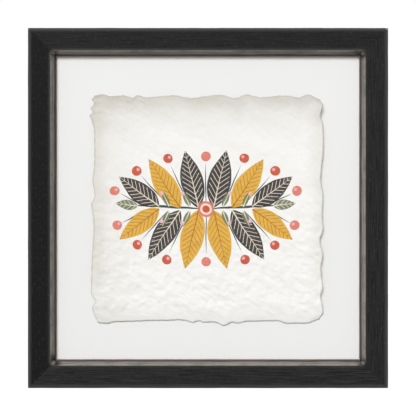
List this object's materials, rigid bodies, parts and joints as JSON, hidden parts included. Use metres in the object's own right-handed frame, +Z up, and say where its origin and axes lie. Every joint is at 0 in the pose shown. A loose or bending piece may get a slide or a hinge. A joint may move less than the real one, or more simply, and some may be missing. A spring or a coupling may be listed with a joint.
{
  "type": "framed paper print",
  "caption": "Square framed print: a deckle-edged sheet of handmade paper, float-mounted on a white board set back in a mitred black wood frame, hung on the wall by a sawtooth hanger.",
  "frame": {"origin": "on the wall plane, at the middle of the sawtooth hanger's raised strap on the back of the top rail", "axes": "+Z up; the picture faces -Y and the wall is on the +Y side; +X to the right as seen by a viewer"},
  "size_m": [0.305, 0.0225, 0.305],
  "materials": {
    "black_paint": "black paint rubbed through at the arrises, satin",
    "white_board": "white paint on hardboard, satin",
    "cotton_paper": "felt-marked handmade paper, matt, printed",
    "foam_tape": "foam, matt",
    "zinc_steel": "zinc plated, satin"
  },
  "bodies": {
    "root": {"rail_bottom": "black_paint", "rail_right": "black_paint", "rail_top": "black_paint", "rail_left": "black_paint", "point_bottom_1": "zinc_steel", "point_bottom_2": "zinc_steel", "point_right_1": "zinc_steel", "point_right_2": "zinc_steel", "point_top_1": "zinc_steel", "point_top_2": "zinc_steel", "point_left_1": "zinc_steel", "point_left_2": "zinc_steel", "backing_board": "white_board", "mounting_pad_1": "foam_tape", "mounting_pad_2": "foam_tape", "mounting_pad_3": "foam_tape", "mounting_pad_4": "foam_tape", "paper_sheet": "cotton_paper", "sawtooth_hanger": "zinc_steel", "hanger_nail_left": "zinc_steel", "hanger_nail_right": "zinc_steel"}
  },
  "joints": []
}
